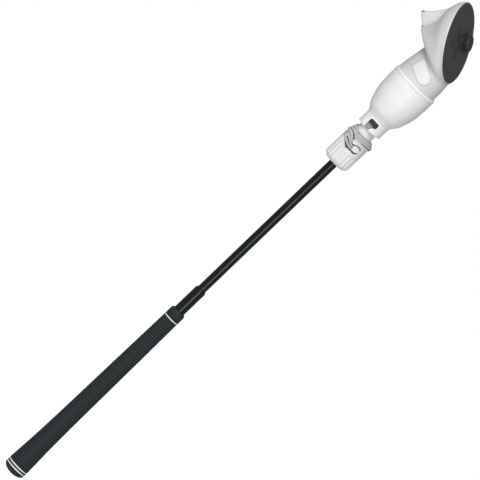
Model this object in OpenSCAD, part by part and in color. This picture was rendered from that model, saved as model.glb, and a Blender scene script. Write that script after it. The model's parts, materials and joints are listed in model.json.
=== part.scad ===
// Golf-swing stick with a hand controller held in a cup at its head.
// +Z runs up the shaft from the butt, +X is the side that the round face looks to,
// and the origin is the middle of the butt end. All sizes are in millimetres.

/* [Grip] */
// Length of the whole grip, from the butt end to the mouth
grip_len = 267; // [240:1:280]
// Diameter of the butt end
butt_d = 27.1; // [25:0.1:29]
// Diameter of the grip at its mouth
mouth_d = 19.2; // [17:0.1:20]
// Diameter of the vent hole in the butt cap
vent_d = 3; // [2:0.1:4]

/* [Shaft] */
// Outer diameter of the butt tube
tube_d = 14.2; // [14:0.1:14.6]
// Height of the butt tube's upper end
tube_top = 301; // [290:1:320]
// Outer diameter of the thin shaft
shaft_d = 11; // [10:0.1:11.2]
// How far the thin shaft reaches down into the butt tube
shaft_lap = 70; // [50:1:100]

/* [Winder] */
// Height of the ribbed knob's lower face
knob_z = 512; // [480:1:520]
// Outer diameter of the ribbed knob
knob_d = 34; // [32:0.1:35]
// Number of finger flutes round the knob
flutes = 18; // [12:1:24]
// Outer diameter of the strap guard
guard_d = 37.6; // [36:0.1:39]
// Diameter of the fixed neck above the winder
neck_d = 22.8; // [20:0.1:23]
// Width of the wrist strap across its flat
strap_w = 3.4; // [2.6:0.1:3.6]
// Thickness of the wrist strap
strap_t = 2.2; // [1.6:0.1:2.3]

/* [Cup] */
// Diameter of the cup's lower collar
collar_d = 32; // [30:0.1:33]
// Greatest diameter of the cup
cup_d = 58.8; // [57:0.1:60]
// Width of the strap clip's window in the collar
window_w = 12.4; // [10:0.1:13]

/* [Controller] */
// Diameter of the round black face
face_d = 93.4; // [92:0.1:96]
// Angle of the face's normal from the shaft's axis
face_tilt = 57.8; // [57:0.1:58.5]
// Wall thickness of the controller's shells
wall = 2.4; // [2:0.1:2.6]
// Width of the trigger
trigger_w = 22; // [18:0.5:22]
// Diameter of the thumbstick's cap
stick_d = 20; // [16:0.5:20]
// Diameter of the two round face buttons
button_d = 10.8; // [9:0.1:11]

/* [Hidden] */

$fn = 64;
// Clearances: still parts that slide together, and parts that move
fit = 0.05;
gap = 0.4;
// Long enough to cut through any wall
through = 200;
eps = 0.01;

// ---- Grip stations ----
vent_len = 6;
cap_top = 14.4;
dome_h = 7;
ring_w = 1.6;
ring_depth = 0.9;
ring_lower_z = 7.5;
ring_upper_z = 11;
mouth_ring_z = 253.7;
mouth_ring_w = 1.4;
tube_r = tube_d / 2;
tube_wall = 1.05;
tube_bore_r = tube_r - tube_wall;
shaft_r = shaft_d / 2;
shaft_bore_r = shaft_r - 0.8;
shaft_low = tube_top - shaft_lap;
pin_z = shaft_low + 9;
pin_r = 1.25;

// Outer radius of the grip at its stations: height, share of the butt's and the mouth's radii
grip_stations = [[cap_top, 1], [26, 0.91], [43, 0.71], [63, 0.575], [100, 0.42], [152, 0.3],
    [204, 0.17], [248, 0.04], [grip_len - 9, 0]];
function grip_r(share) = mouth_d / 2 + share * (butt_d - mouth_d) / 2;

// ---- Winder stations ----
knob_r = knob_d / 2;
knob_top = knob_z + 38;
bearing_r = 8.5;
shaft_in = 28;
hub_r = 11.5;
cavity_r = 14.7;
counterbore_z = knob_z + 13;
cavity_z = knob_z + 19;
guard_z = knob_top + 0.7;
guard_r = guard_d / 2;
guard_straight = 1.9;
neck_z = guard_z + 6.6;
neck_r = neck_d / 2;
guard_start = -89;
guard_sweep = 196;
flute_start = knob_z + 1;
flute_front = knob_z + 19.5;
flute_back = knob_z + 29;

// ---- Cup stations ----
cup_top = 70.7;
collar_z = neck_z + 9.4;
collar_r = collar_d / 2;
cup_r = cup_d / 2;
rim_z = collar_z + cup_top + 0.2;
body_z = 642;
floor_z = collar_z + 4.2;
socket_r = 9.5;
window_side = -75;
// Outer outline of the cup: height above the collar's lower edge, radius
cup_stations = [[0, collar_r - 0.3], [0.6, collar_r], [14, collar_r], [17, 17.1], [20, 19],
    [23.5, 21.5], [27, 23.2], [34, 25.6], [41, 27.5], [47, 28.5], [54, 28.95], [61, cup_r - 0.1],
    [cup_top, cup_r]];

// ---- Controller stations ----
face_r = face_d / 2;
face_c = [0.45, 0, 708.1];
face_n = [sin(face_tilt), 0, cos(face_tilt)];
face_down = [cos(face_tilt), 0, -sin(face_tilt)];
plate_t = 2.4;
rim_r = face_r + 1;
trigger_p = [-22.5, 0, 731];
trigger_r = 43.7;
trigger_gap = 0.7;
trigger_pin_r = 1.25;
stick_at = [-3.5, 18];
pivot_depth = 7;
upper_at = [-12.5, -7];
lower_at = [12.5, -3];
menu_at = [4, -24];
menu_r = 3;
board_z = -15.8;
board_t = 1.6;
chassis_z = -18.6;
chassis_t = 2;
screw_at = [[30, 8], [-10, 3], [22, -20]];

// Outline of the body: back x and z, front x and z, half width, and how egg-shaped it is
body_sections = [
    [-28.2, body_z, 27.1, body_z, 27.7, 0],
    [-27.05, 653, 27, 651, 26.8, 0],
    [-25.2, 664, 26.6, 658.5, 26.4, 0],
    [-23.7, 674, 26.3, 661.2, 26.2, 0],
    [-23.5, 682.2, 26, 662.3, 26.2, 0.05],
    [-27.6, 688.4, 25.7, 663.2, 27.2, 0.16],
    [-35.9, 690.2, 25.4, 663.8, 29.5, 0.2],
    [-44.4, 691, 25.1, 664.3, 32.4, 0.2],
    [-41.6, 694, 24.9, 664.7, 35.5, 0.15],
    [-38, 700, 24.7, 665, 38, 0.13],
    [-35, 709, 24.5, 665.3, 40.3, 0.1],
    [-34.6, 719, 24.3, 665.6, 42.5, 0.08],
    [-34.8, 730, 24.1, 665.9, 44.6, 0.05],
    [-31.6, 741, 23.9, 666.2, 46.4, 0.02],
    rim_section(plate_t + 0.1)];
function rim_section(depth) = let (c = face_c - depth * face_n, r = rim_r - 0.1)
    [c.x - r * face_down.x, c.z - r * face_down.z, c.x + r * face_down.x, c.z + r * face_down.z, r, 0];

// ---- Lofts ----
loft_n = 40;

// One section of the body, drawn in its own plane and moved in by inset
function section_ring(s, inset) = let (
    span = [s[2] - s[0], s[3] - s[1]],
    half = norm(span) / 2,
    dir = span / norm(span),
    c = [s[0] + s[2], s[1] + s[3]] / 2)
    [for (i = [0:loft_n - 1]) let (t = 360 * i / loft_n, along = (half - inset) * cos(t))
        [c.x + along * dir.x, (s[4] - inset) * sin(t) * (1 + s[5] * cos(t)), c.y + along * dir.y]];

// A closed solid through rings of equal length, each ring anticlockwise seen from above
module loft(rings) {
    n = len(rings[0]);
    last = len(rings) - 1;
    points = [for (r = rings) each r];
    sides = [for (k = [0:last - 1], i = [0:n - 1]) let (j = (i + 1) % n)
        each [[k * n + i, (k + 1) * n + i, (k + 1) * n + j], [k * n + i, (k + 1) * n + j, k * n + j]]];
    floor_cap = [for (i = [0:n - 1]) i];
    roof_cap = [for (i = [n - 1:-1:0]) last * n + i];
    polyhedron(points, concat(sides, [floor_cap, roof_cap]), convexity = 6);
}

module body_loft(inset) {
    loft([for (s = body_sections) section_ring(s, inset)]);
}

// The hollow of the body, carried past both open ends
module body_hollow() {
    first = body_sections[0];
    below = [first[0], first[1] - 1, first[2], first[3] - 1, first[4], 0];
    loft([for (s = concat([below], body_sections, [rim_section(-1)])) section_ring(s, wall)]);
}

// ---- Helpers ----
module at_face() {
    translate(face_c) rotate([0, face_tilt, 0]) children();
}

module tube(r_out, r_in, z0, z1) {
    translate([0, 0, z0]) difference() {
        cylinder(r = r_out, h = z1 - z0);
        translate([0, 0, -eps]) cylinder(r = r_in, h = z1 - z0 + 2 * eps);
    }
}

// A cylinder along Y, centred on the origin
module cross_cylinder(r, length) {
    rotate([90, 0, 0]) cylinder(r = r, h = length, center = true);
}

// An outline in X and Z, made solid across Y
module side_plate(outline, y0, y1) {
    translate([0, y1, 0]) rotate([90, 0, 0]) linear_extrude(height = y1 - y0) polygon(outline);
}

// ---- Grip ----
module butt_cap() {
    color("#1a1e20") difference() {
        rotate_extrude() polygon(concat(
            [[0, cap_top]],
            [for (t = [0:15:90]) [(butt_d / 2 - 0.4) * sin(t), dome_h * (1 - cos(t))]],
            [[butt_d / 2, cap_top]]));
        translate([0, 0, -1]) cylinder(d = vent_d, h = vent_len + 1.2);
        translate([0, 0, vent_len]) cylinder(r = tube_r + fit, h = through);
        for (z = [ring_lower_z, ring_upper_z]) tube(butt_d, butt_d / 2 - ring_depth, z, z + ring_w);
    }
}

module butt_ring(z) {
    color("white") tube(butt_d / 2 - 0.1, butt_d / 2 - ring_depth + fit / 2, z + fit, z + ring_w - fit);
}

module butt_ring_lower() {
    butt_ring(ring_lower_z);
}

module butt_ring_upper() {
    butt_ring(ring_upper_z);
}

module grip_sleeve() {
    color("#15191b") difference() {
        rotate_extrude() polygon(concat(
            [[tube_r + fit, cap_top + fit]],
            [for (s = grip_stations) [grip_r(s[1]), s[0] + fit]],
            [[mouth_d / 2 - 0.3, grip_len - 2.5], [mouth_d / 2 - 1.1, grip_len],
                [tube_r + fit, grip_len]]));
        tube(butt_d, mouth_d / 2 - ring_depth, mouth_ring_z, mouth_ring_z + mouth_ring_w);
    }
}

module mouth_ring() {
    color("white") tube(mouth_d / 2 + 0.1, mouth_d / 2 - ring_depth + fit / 2,
        mouth_ring_z + fit, mouth_ring_z + mouth_ring_w - fit);
}

// ---- Shaft ----
module joint_pin_hole() {
    translate([0, 0, pin_z]) cross_cylinder(pin_r + fit, 3 * tube_r);
}

module butt_tube() {
    chamfer = 0.4;
    color("#0c0c0d") difference() {
        rotate_extrude() polygon([[tube_bore_r, vent_len + fit], [tube_r, vent_len + fit],
            [tube_r, tube_top - chamfer], [tube_r - chamfer, tube_top], [tube_bore_r, tube_top]]);
        joint_pin_hole();
    }
}

module inner_bush() {
    color("#3a3a3c") difference() {
        tube(tube_bore_r - fit, shaft_r + fit, shaft_low, shaft_low + 18);
        joint_pin_hole();
    }
}

module reducer_bush() {
    lip_h = 1.5;
    color("#101011") rotate_extrude() polygon([[shaft_r + fit, tube_top - 20],
        [tube_bore_r - fit, tube_top - 20], [tube_bore_r - fit, tube_top + fit],
        [tube_r - 0.4, tube_top + fit], [shaft_r + 0.9, tube_top + lip_h],
        [shaft_r + fit, tube_top + lip_h]]);
}

module joint_pin() {
    color("silver") translate([0, 0, pin_z]) cross_cylinder(pin_r, tube_d - 0.6);
}

module thin_shaft() {
    color("#0a0a0b") difference() {
        tube(shaft_r, shaft_bore_r, shaft_low, knob_z + shaft_in);
        joint_pin_hole();
    }
}

// ---- Winder ----
drag_z = knob_z + 8;
drag_depth = 1.7;

// The fixed spindle: the shaft is bonded in its foot and the cup stands on its head
module neck_spindle() {
    color("#d9dbde") difference() {
        union() {
            translate([0, 0, knob_z + 2.3]) cylinder(r = bearing_r, h = neck_z - knob_z - 2);
            translate([0, 0, neck_z]) cylinder(r = neck_r, h = collar_z - neck_z - fit);
            translate([0, 0, neck_z]) cylinder(r = socket_r, h = floor_z - neck_z);
        }
        translate([0, 0, knob_z]) cylinder(r = shaft_r + fit, h = shaft_in + 0.2);
        translate([0, 0, knob_z]) cylinder(r = 3, h = through);
        tube(neck_r, bearing_r - drag_depth, drag_z, drag_z + 2.2);
        translate([0, 0, neck_z + 5]) rotate([0, 90, 112]) cylinder(r = 2, h = through);
    }
}

// A rubber ring that keeps the knob where it is put
module drag_ring() {
    minor = drag_depth / 2 - fit / 2;
    color("#222222") translate([0, 0, drag_z + 1.1]) rotate_extrude()
        translate([bearing_r - minor, 0]) circle(r = minor - fit / 2);
}

// Height where the flutes stop: level in front, and up a helix to the back on each side
function flute_end(a) = flute_front + (flute_back - flute_front) * min(1, max(0, (87 - abs(a - 194)) / 51));

// A slot through the knob's wall along a line of angles and heights above the lower face
module wall_slot(line, width) {
    for (i = [0:len(line) - 2]) hull() for (p = [line[i], line[i + 1]])
        translate([0, 0, knob_z + p[1]]) rotate([0, 90, p[0]]) translate([0, 0, cavity_r - 2.5])
            cylinder(d = width, h = 6, $fn = 24);
}

// Everything of the knob's wall from one angle on, between two heights
module wall_cut(a, sweep, low, high) {
    rotate([0, 0, a]) rotate_extrude(angle = sweep) translate([cavity_r - 0.5, low])
        square([5, high - low]);
}

module ribbed_knob() {
    recess_start = 107;
    recess_steps = 10;
    recess_step = 171 / recess_steps;
    pocket_low = knob_z + 23.9;
    color("#eef0f2") difference() {
        rotate_extrude() polygon([[shaft_r + gap, knob_z], [knob_r - 4.5, knob_z],
            [knob_r - 1.8, knob_z + 2], [knob_r - 0.5, knob_z + 4], [knob_r, knob_z + 5.5],
            [knob_r, knob_top - 3], [knob_r + 1.2, knob_top - 1.6], [knob_r + 1.5, knob_top],
            [cavity_r, knob_top], [cavity_r, cavity_z], [hub_r + fit, cavity_z],
            [hub_r + fit, counterbore_z], [bearing_r + 0.06, counterbore_z],
            [bearing_r + 0.06, knob_z + 1.8], [shaft_r + gap, knob_z + 1.8]]);
        for (i = [0:flutes - 1]) let (a = 360 * i / flutes + 13.7)
            rotate([0, 0, a]) translate([knob_r - 0.9, -1.1, flute_start])
                cube([3, 2.2, flute_end(a) - flute_start]);
        // The strap's recess rises in steps round the back
        for (i = [0:recess_steps - 1]) let (a = recess_start + recess_step * i)
            wall_cut(a, recess_step + 0.3, min(flute_end(a), flute_end(a + recess_step)) + 1.5,
                knob_top + 5);
        // The pocket that the loop's two legs turn into, and the slots that part the hook
        wall_cut(278, 9, pocket_low, knob_z + 33.2);
        wall_cut(286.5, 9.5, pocket_low, knob_z + 31.3);
        wall_slot([[-68, 24.9], [-57, 25], [-49, 24.3], [-40, 25], [-31, 27]], 1.9);
        wall_slot([[-72, 31], [-60, 33], [-49, 33.4], [-38, 33], [-28, 30.5]], 1.9);
    }
}

// The grey skirt that the strap's turns pass behind, on the hub that carries them
module strap_guard() {
    skin = 0.9;
    round_z = guard_z + guard_straight;
    top = neck_z - gap;
    color("#a9acb0") {
        tube(hub_r, bearing_r + gap, counterbore_z + fit, top);
        rotate([0, 0, guard_start]) rotate_extrude(angle = guard_sweep) polygon([
            [guard_r - skin, guard_z], [guard_r, guard_z], [guard_r, round_z],
            [guard_r - 1.6, round_z + 1.3], [guard_r - 4, top], [hub_r - 0.5, top],
            [hub_r - 0.5, top - 1], [guard_r - 4.8, top - 1], [guard_r - 2.4, round_z + 0.6],
            [guard_r - skin, round_z - 0.5]]);
    }
}

// The strap's run: angle, height above the knob's lower face, radius of its middle.
// It winds down round the neck and the hub, behind the guard, and dives under the knob's hook.
strap_run = [[112, 48.6, 12.8], [180, 47.4, 13.2], [237, 46.4, 13.2], [252, 45.6, 13.1],
    [262, 42.1, 12.6], [477, 42.1, 12.6], [490, 43.2, 13.4], [540, 43.9, 14.6], [597, 43.1, 15],
    [614, 42.6, 15.2], [630, 40.3, 15.2], [820, 40.3, 15.2], [850, 39.6, 16], [900, 39.2, 16.5],
    [957, 39.2, 16.4], [972, 38.2, 16], [990, 33.2, 13.4], [1187, 33.2, 13.4], [1215, 33.8, 15.9],
    [1260, 33.8, 16.1], [1290, 33.4, 16], [1313, 31.6, 15.9], [1335, 29, 15.9], [1358, 26.8, 15.9],
    [1366, 26.5, 15.2], [1374.5, 26.5, 13.3], [1394, 26.6, 13.3]];
// The second leg of the strap's end loop, above the first
strap_loop = [[1294, 35.4, 15.9], [1317, 35.6, 15.9], [1326, 34.8, 15.9], [1345, 32.2, 15.9],
    [1358, 29.9, 15.9], [1366, 29.1, 15.2], [1374.5, 29, 13.3], [1394, 29, 13.3]];
// The strap narrows where its end splits into the loop
split_start = 1285;
split_end = 1305;
leg_w = 2.2;

// One ring of a strap's run, across it, with its flat against the hub
function strap_ring(run, a) = let (
    r = lookup(a, [for (p = run) [p[0], p[2]]]),
    z = lookup(a, [for (p = run) [p[0], p[1]]]) + knob_z,
    w = lookup(a, [[split_start, strap_w], [split_end, leg_w]]))
    [for (i = [0:7]) let (t = -360 * (i + 0.5) / 8, rr = r + strap_t / 2 * cos(t))
        [rr * cos(a), rr * sin(a), z + w / 2 * sin(t)]];

module strap_leg(run, steps) {
    first = run[0][0];
    last = run[len(run) - 1][0];
    loft([for (i = [0:steps]) strap_ring(run, first + (last - first) * i / steps)]);
}

module wrist_strap() {
    color("#c9cbce") {
        strap_leg(strap_run, 140);
        strap_leg(strap_loop, 20);
    }
}

// ---- Cup ----
window_deep = 11.8;
window_top = collar_z + 12.9;
// The window is full width down to here, and narrow below it
window_step = collar_z + 5.8;
window_mid = 0.6;

// The window in the collar, where the strap's clip and lug are let in
module window_cut() {
    side = window_w / 2;
    round_r = 1.5;
    rotate([0, 0, window_side]) translate([window_deep, 0, 0]) {
        translate([0, -side, collar_z - 1])
            cube([20, side + window_mid, window_step + 1.2 - collar_z + 1]);
        translate([0, -side, window_step]) cube([20, 2 * side, window_top - window_step - round_r]);
        translate([0, -side + round_r, window_step])
            cube([20, 2 * (side - round_r), window_top - window_step]);
        for (y = [-1, 1]) translate([0, y * (side - round_r), window_top - round_r])
            rotate([0, 90, 0]) cylinder(r = round_r, h = 20);
    }
}

cup_wall = 2.7;
liner_t = 1.2;

// Stations of the outline where the flare begins, where the liner begins, and near the lip
flare_at = 3;
liner_at = 5;
shoulder_at = 11;
lip_at = 12;

// A line inside the cup's outline, from one station up to another
function inner_line(from, to, inset) = [for (i = [from:to])
    [cup_stations[i][1] - inset, collar_z + min(cup_top, cup_stations[i][0] + inset * 0.4)]];
function reversed(list) = [for (i = [len(list) - 1:-1:0]) list[i]];

module cup() {
    color("#f2f3f5") difference() {
        rotate_extrude() polygon(concat(
            [[socket_r + fit, collar_z], [collar_r - 0.3, collar_z]],
            [for (s = cup_stations) [s[1], collar_z + s[0]]],
            reversed(inner_line(flare_at, lip_at, cup_wall)),
            [[window_deep - 0.4, collar_z + 13.6], [window_deep - 0.4, floor_z],
                [socket_r + fit, floor_z]]));
        window_cut();
    }
}

// A curved plate that stands in the window, from an outline across and up
module window_plate(r_out, outline) {
    intersection() {
        cylinder(r = r_out, h = window_top);
        rotate([90, 0, window_side + 90]) translate([0, 0, window_deep + fit])
            linear_extrude(height = 9) polygon(outline);
    }
}

module strap_clip() {
    side = window_w / 2 - 0.2;
    color("#b8bbc0") window_plate(collar_r - 1.2, [[-side, collar_z + 0.4],
        [window_mid - 0.2, collar_z + 0.4], [window_mid - 0.2, collar_z + 7], [-side, collar_z + 7]]);
}

module strap_lug() {
    side = window_w / 2 - 0.1;
    corner = 1.4;
    low = collar_z + 7.1;
    high = window_top - 0.1;
    color("#111111") window_plate(collar_r - 0.8, [[-side, low], [window_mid, low],
        [window_mid + 1, low - 0.9], [side, low - 0.9], [side, high - corner], [side - corner, high],
        [corner - side, high], [-side, high - corner]]);
}

module cup_liner() {
    color("#4b4d50") rotate_extrude() polygon(concat(
        inner_line(liner_at, lip_at, cup_wall + fit),
        reversed(inner_line(liner_at, lip_at, cup_wall + fit + liner_t))));
}

module rim_ring() {
    bead = 0.2;
    color("#f4f5f6") rotate_extrude() polygon([[26, rim_z + 0.1], [cup_r - 0.5, rim_z + 0.1],
        [cup_r, rim_z + 0.8], [cup_r + bead, rim_z + 1.6], [cup_r + bead, rim_z + 2.8],
        [cup_r, rim_z + 3.6], [cup_r - 0.6, rim_z + 4.1], [26, rim_z + 4.1]]);
}

// ---- Handle and battery ----
handle_inset = cup_wall + liner_t + 0.2;
handle_wall = 1.8;

module handle_shell() {
    top = body_z - fit;
    top_r = 24.9;
    color("#e9eaec") rotate_extrude() polygon(concat(
        [[0, collar_z + 14.5], [8, collar_z + 14.5]],
        inner_line(liner_at, shoulder_at, handle_inset),
        [[top_r, collar_z + cup_top], [top_r, top], [top_r - handle_wall, top]],
        reversed(inner_line(liner_at + 1, shoulder_at, handle_inset + handle_wall)),
        [[9.6, collar_z + 17], [0, collar_z + 17]]));
}

cell_r = 7.25;
cell_len = 50.5;
cell_z = collar_z + 22.5;

module battery_sleeve() {
    color("#2b2b2d") tube(cell_r + 1.5, cell_r + 0.2, cell_z - 5.5, cell_z + cell_len - 2);
}

module battery() {
    color("#3d6a4c") {
        translate([0, 0, cell_z]) cylinder(r = cell_r, h = cell_len - 1.2);
        translate([0, 0, cell_z + cell_len - 1.3]) cylinder(r = 2.7, h = 1.3);
    }
}

// Stacked rings that narrow upwards, as a cell spring does
module battery_spring() {
    wire = 0.45;
    turns = 5;
    color("silver") for (i = [0:turns - 1])
        translate([0, 0, cell_z - 0.5 - (turns - i - 0.5) * 0.9]) rotate_extrude()
            translate([5 - 0.5 * i, 0]) circle(r = wire + 0.02, $fn = 24);
}

module battery_plate() {
    color("silver") {
        translate([-4, -4, cell_z + cell_len + fit]) cube([8, 8, 0.5]);
        translate([-4, -4, cell_z + cell_len + fit]) cube([0.5, 8, 7]);
    }
}

// ---- Body ----
// Everything behind this line is open for the trigger to swing in
module trigger_opening() {
    half = trigger_w / 2 + 0.5;
    intersection() {
        translate(trigger_p) cross_cylinder(trigger_r + trigger_gap, 2 * half);
        side_plate([[-80, 680], [-20, 680], [-20, 725], [-30, 731.6], [-80, 731.6]], -half, half);
    }
}

// Corners of the grip button seen from the side: x and z, then the round end
grip_flat = [[-12, 653.7], [-7.8, 671.1]];
grip_round = [9.6, 654.2];
grip_round_r = 7.6;
grip_near = -14;

module grip_outline(grow) {
    dir = (grip_flat[1] - grip_flat[0]) / norm(grip_flat[1] - grip_flat[0]);
    out = [-dir.y, dir.x] * grow;
    side = dir * grow;
    hull() {
        polygon([grip_flat[0] + out - side, grip_flat[1] + out + side,
            grip_flat[1] + side + [2, -1], grip_flat[0] - side + [2, -1]]);
        translate(grip_round) circle(r = grip_round_r + grow, $fn = 40);
    }
}

module grip_prism(grow) {
    translate([0, grip_near, 0]) rotate([90, 0, 0]) linear_extrude(height = 30) grip_outline(grow);
}

module body_shell() {
    color("#f4f5f6") difference() {
        body_loft(0);
        body_hollow();
        trigger_opening();
        grip_prism(0.5);
    }
}

module face_rim() {
    color("#f7f8f9") at_face() rotate_extrude() polygon([[face_r + 0.1, -plate_t],
        [rim_r, -plate_t], [rim_r + 0.1, -1.6], [rim_r - 0.2, -0.9], [face_r + 0.1, -0.9]]);
}

module face_plate() {
    bevel = 0.5;
    boss_r = 2.6;
    color("#2e2f31") at_face() difference() {
        union() {
            rotate_extrude() polygon([[0, -plate_t], [face_r, -plate_t], [face_r, -bevel],
                [face_r - bevel, 0], [0, 0]]);
            for (p = screw_at) translate([p.x, p.y, board_z + board_t + fit])
                cylinder(r = boss_r, h = -plate_t - board_z - board_t);
        }
        translate([stick_at.x, stick_at.y, -plate_t - eps])
            cylinder(r1 = 9.9, r2 = 13.6, h = plate_t + 2 * eps);
        for (p = [upper_at, lower_at]) translate([p.x, p.y, -5]) cylinder(d = button_d + 0.6, h = 6);
        translate([menu_at.x, menu_at.y, -5]) cylinder(r = menu_r + 0.3, h = 6);
        for (p = screw_at) translate([p.x, p.y, board_z]) cylinder(r = 1.05, h = 11);
    }
}

// ---- Inside the body ----
function in_face(p) = let (d = p - face_c) [d * face_down, d * face_n];

module chassis() {
    ear_r = 3.6;
    p = in_face(trigger_p);
    arm = [[p.x - 2.6, p.y - 2.6], [p.x + 1.4, p.y + 3.3], [-17, -12], [-15, -16.6], [-9, -16.6],
        [-9, chassis_z], [-19, chassis_z]];
    color("#5b5e62") difference() {
        union() {
            at_face() {
                translate([12, 0, chassis_z]) cylinder(r = 26, h = chassis_t);
                for (y = [12, -14.2]) side_plate(arm, y, y + 2.2);
                for (y = [13.1, -13.1]) translate([p.x, y, p.y]) cross_cylinder(ear_r, 2.2);
            }
            side_plate([[-10, 644], [12, 644], [12, 659.5], [-10, 692.5]], -14, -12);
            for (k = [-1, 1]) grip_ear(k);
        }
        translate(trigger_p) cross_cylinder(trigger_pin_r + fit, 40);
        at_grip_pivot() translate([0, 0, -15]) cylinder(r = grip_pin_r + fit, h = 30);
        at_face() for (q = screw_at) translate([q.x, q.y, -25]) cylinder(r = 1.3, h = 20);
    }
}

module main_board() {
    color("#1f5c3a") at_face() difference() {
        translate([10, 0, board_z]) cylinder(r = 27, h = board_t);
        for (q = screw_at) translate([q.x, q.y, -25]) cylinder(r = 1.3, h = 20);
    }
}

module face_screws() {
    color("silver") at_face() for (q = screw_at) translate([q.x, q.y, 0]) {
        translate([0, 0, chassis_z - 1.5]) cylinder(r = 2, h = 1.5 - fit);
        translate([0, 0, chassis_z - 0.2]) cylinder(r = 1, h = 12);
    }
}

module switch_domes() {
    color("silver") at_face() for (q = [upper_at, lower_at, menu_at])
        translate([q.x, q.y, board_z + board_t + 0.02]) cylinder(r1 = 2.6, r2 = 1.8, h = 0.3);
}

module haptic_motor() {
    color("#8d9094") {
        translate([2, 2, 652]) cross_cylinder(6, 16);
        translate([2, -8.5, 652]) cross_cylinder(1.2, 6);
    }
}

module led_strip() {
    lamp = 1.2;
    color("#c48a2c") at_face() {
        rotate([0, 0, -80]) rotate_extrude(angle = 160) translate([41, -8]) square([0.6, 4]);
        for (a = [-72:18:72]) rotate([0, 0, a]) translate([41.5, -lamp / 2, -7]) cube([1, lamp, lamp]);
    }
}

// ---- Trigger ----
module trigger() {
    half = trigger_w / 2;
    barrel_r = 3.4;
    tip = [-55.9, 702.9];
    dish = [[-33.4, 730.8], [-36.3, 725.4], [-41.2, 717.6], [-47.2, 710.2], tip];
    inner = [[-60, 690], [-40, 660], [-32, 688], [-33, 705], [-31, 720], [-24, 727.7], [-22.5, 730.8]];
    color("#f3f4f5") difference() {
        union() {
            intersection() {
                translate(trigger_p) cross_cylinder(trigger_r, 2 * half);
                side_plate(concat(dish, inner), -half, half);
            }
            translate(trigger_p) cross_cylinder(barrel_r, 13);
        }
        translate(trigger_p) cross_cylinder(trigger_pin_r + fit, 60);
        // Room for the spring beside the barrel
        for (y = [-1, 1]) translate(trigger_p + [0, y * 9.5, 0]) cross_cylinder(4.2, 6);
    }
}

module trigger_pin() {
    color("silver") translate(trigger_p) cross_cylinder(trigger_pin_r, 29);
}

// Turns of a torsion spring, side by side round a pin that lies along Z
module spring_turns(r, wire, count) {
    for (i = [0:count - 1]) translate([0, 0, (i + 0.5) * 1.9 * wire])
        rotate_extrude() translate([r, 0]) circle(r = wire, $fn = 24);
}

module trigger_spring() {
    color("silver") translate(trigger_p + [0, -6.9, 0]) rotate([90, 0, 0]) spring_turns(2.2, 0.4, 5);
}

// ---- Grip button ----
grip_pin_r = 1;
grip_axis_tilt = 13.6;
grip_pivot = [-6.6, -18.4, 661.8];

module at_grip_pivot() {
    translate(grip_pivot) rotate([0, grip_axis_tilt, 0]) children();
}

module grip_ear(k) {
    ear_t = 1.6;
    at_grip_pivot() translate([0, 0, k * 8.2]) {
        translate([0, 0, -ear_t / 2]) cylinder(r = 2.2, h = ear_t);
        translate([-1.5, 0, -ear_t / 2]) cube([5, 5.6, ear_t]);
    }
}

module grip_button() {
    skin = 3;
    color("#fbfbfc") difference() {
        union() {
            intersection() {
                grip_prism(0);
                difference() {
                    body_loft(-0.6);
                    body_loft(skin);
                }
            }
            at_grip_pivot() translate([0, 0, -7]) cylinder(r = 2.2, h = 14);
            at_grip_pivot() translate([-1.6, -6.4, -6.5]) cube([3.2, 6, 13]);
        }
        at_grip_pivot() translate([0, 0, -15]) cylinder(r = grip_pin_r + fit, h = 30);
        difference() {
            at_grip_pivot() translate([-10, -20, -15]) cube([20, 17, 30]);
            body_loft(-0.6);
        }
    }
}

module grip_button_pin() {
    color("silver") at_grip_pivot() translate([0, 0, -9.2]) cylinder(r = grip_pin_r, h = 18.4);
}

module grip_button_spring() {
    color("silver") at_grip_pivot() translate([0, 0, 9.3]) spring_turns(1.5, 0.3, 4);
}

// ---- Thumbstick ----
module at_stick() {
    at_face() translate([stick_at.x, stick_at.y, -pivot_depth]) children();
}

module stick_housing() {
    color("#303134") at_stick() difference() {
        union() {
            tube(8, 6.4, -7, 1.4);
            translate([0, 0, -7]) cylinder(r = 8, h = 1.6);
        }
        cross_cylinder(1.05, 40);
    }
}

module stick_yoke() {
    color("#c9c9c9") at_stick() {
        tube(6, 4.2, -1.2, 1.2);
        rotate([0, 0, 90]) cross_cylinder(1, 9);
        for (y = [-1, 1]) translate([0, y * 6.8, 0]) cross_cylinder(1, 2.2);
    }
}

module thumbstick() {
    dome_r = 9.3;
    dome_wall = 1;
    stem_r = 2.4;
    cap_z = pivot_depth + 5;
    cap_t = 3;
    color("#232426") at_stick() difference() {
        union() {
            intersection() {
                difference() {
                    sphere(r = dome_r);
                    sphere(r = dome_r - dome_wall);
                }
                translate([0, 0, 2.6]) cylinder(r = 20, h = 20);
            }
            translate([0, 0, -2.8]) cylinder(r = stem_r, h = cap_z + 3);
            rotate_extrude() polygon([[0, cap_z], [stick_d / 2 - 1.5, cap_z], [stick_d / 2, cap_z + 1.2],
                [stick_d / 2, cap_z + cap_t - 0.8], [stick_d / 2 - 1, cap_z + cap_t],
                [stick_d / 2 - 4, cap_z + cap_t - 0.8], [0, cap_z + cap_t - 0.8]]);
        }
        rotate([0, 0, 90]) cross_cylinder(1.05, 8);
    }
}

// ---- Face buttons ----
module face_button(at, r) {
    proud = 0.8;
    stem_low = board_z + board_t + 1.2;
    color("#26272a") at_face() translate([at.x, at.y, 0]) {
        translate([0, 0, -4]) cylinder(r = r, h = 4 + proud);
        translate([0, 0, -4.6]) cylinder(r = r + 1, h = 1.2);
        translate([0, 0, stem_low]) cylinder(r = 1.6, h = -4 - stem_low);
    }
}

module upper_button() {
    face_button(upper_at, button_d / 2);
}

module lower_button() {
    face_button(lower_at, button_d / 2);
}

module menu_button() {
    face_button(menu_at, menu_r);
}

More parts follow.
